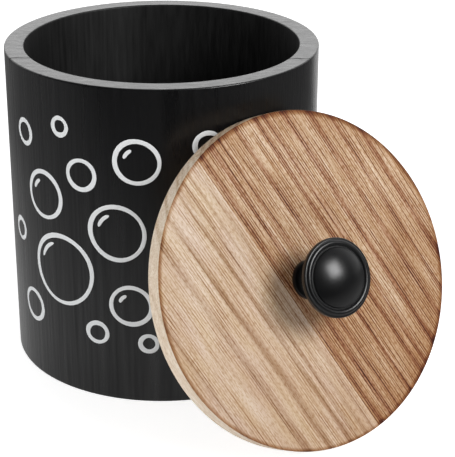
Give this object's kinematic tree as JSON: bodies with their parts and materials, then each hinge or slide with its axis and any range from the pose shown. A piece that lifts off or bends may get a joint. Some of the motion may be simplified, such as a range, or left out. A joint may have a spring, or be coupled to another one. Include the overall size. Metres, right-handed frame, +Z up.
{
  "type": "dishwasher tablet container",
  "caption": "Round black wooden canister for dishwasher tablets, with its two-tone wooden lid taken off and leaned against the wall, and a turned black knob on the lid.",
  "frame": {"origin": "on the canister's axis at the underside of its foot, on the surface it stands on", "axes": "+Z up along the canister's axis and out of its mouth, -Y towards the front, +X to the right, where the lid leans"},
  "size_m": [0.2049, 0.2176, 0.155],
  "materials": {
    "black_painted_wood": "satin",
    "pale_lid_wood": "matte",
    "dark_lid_wood": "matte",
    "bare_wood": "matte",
    "black_metal": "satin",
    "zinc_plated_steel": "satin"
  },
  "bodies": {
    "root": {"wall_front_board": "black_painted_wood", "wall_left_board": "black_painted_wood", "wall_right_board": "black_painted_wood", "wall_back_board": "black_painted_wood", "canister_base": "black_painted_wood", "lid_pale_board": "pale_lid_wood", "lid_dark_board": "dark_lid_wood", "lid_plug": "bare_wood", "knob": "black_metal", "knob_screw": "zinc_plated_steel"}
  },
  "joints": []
}
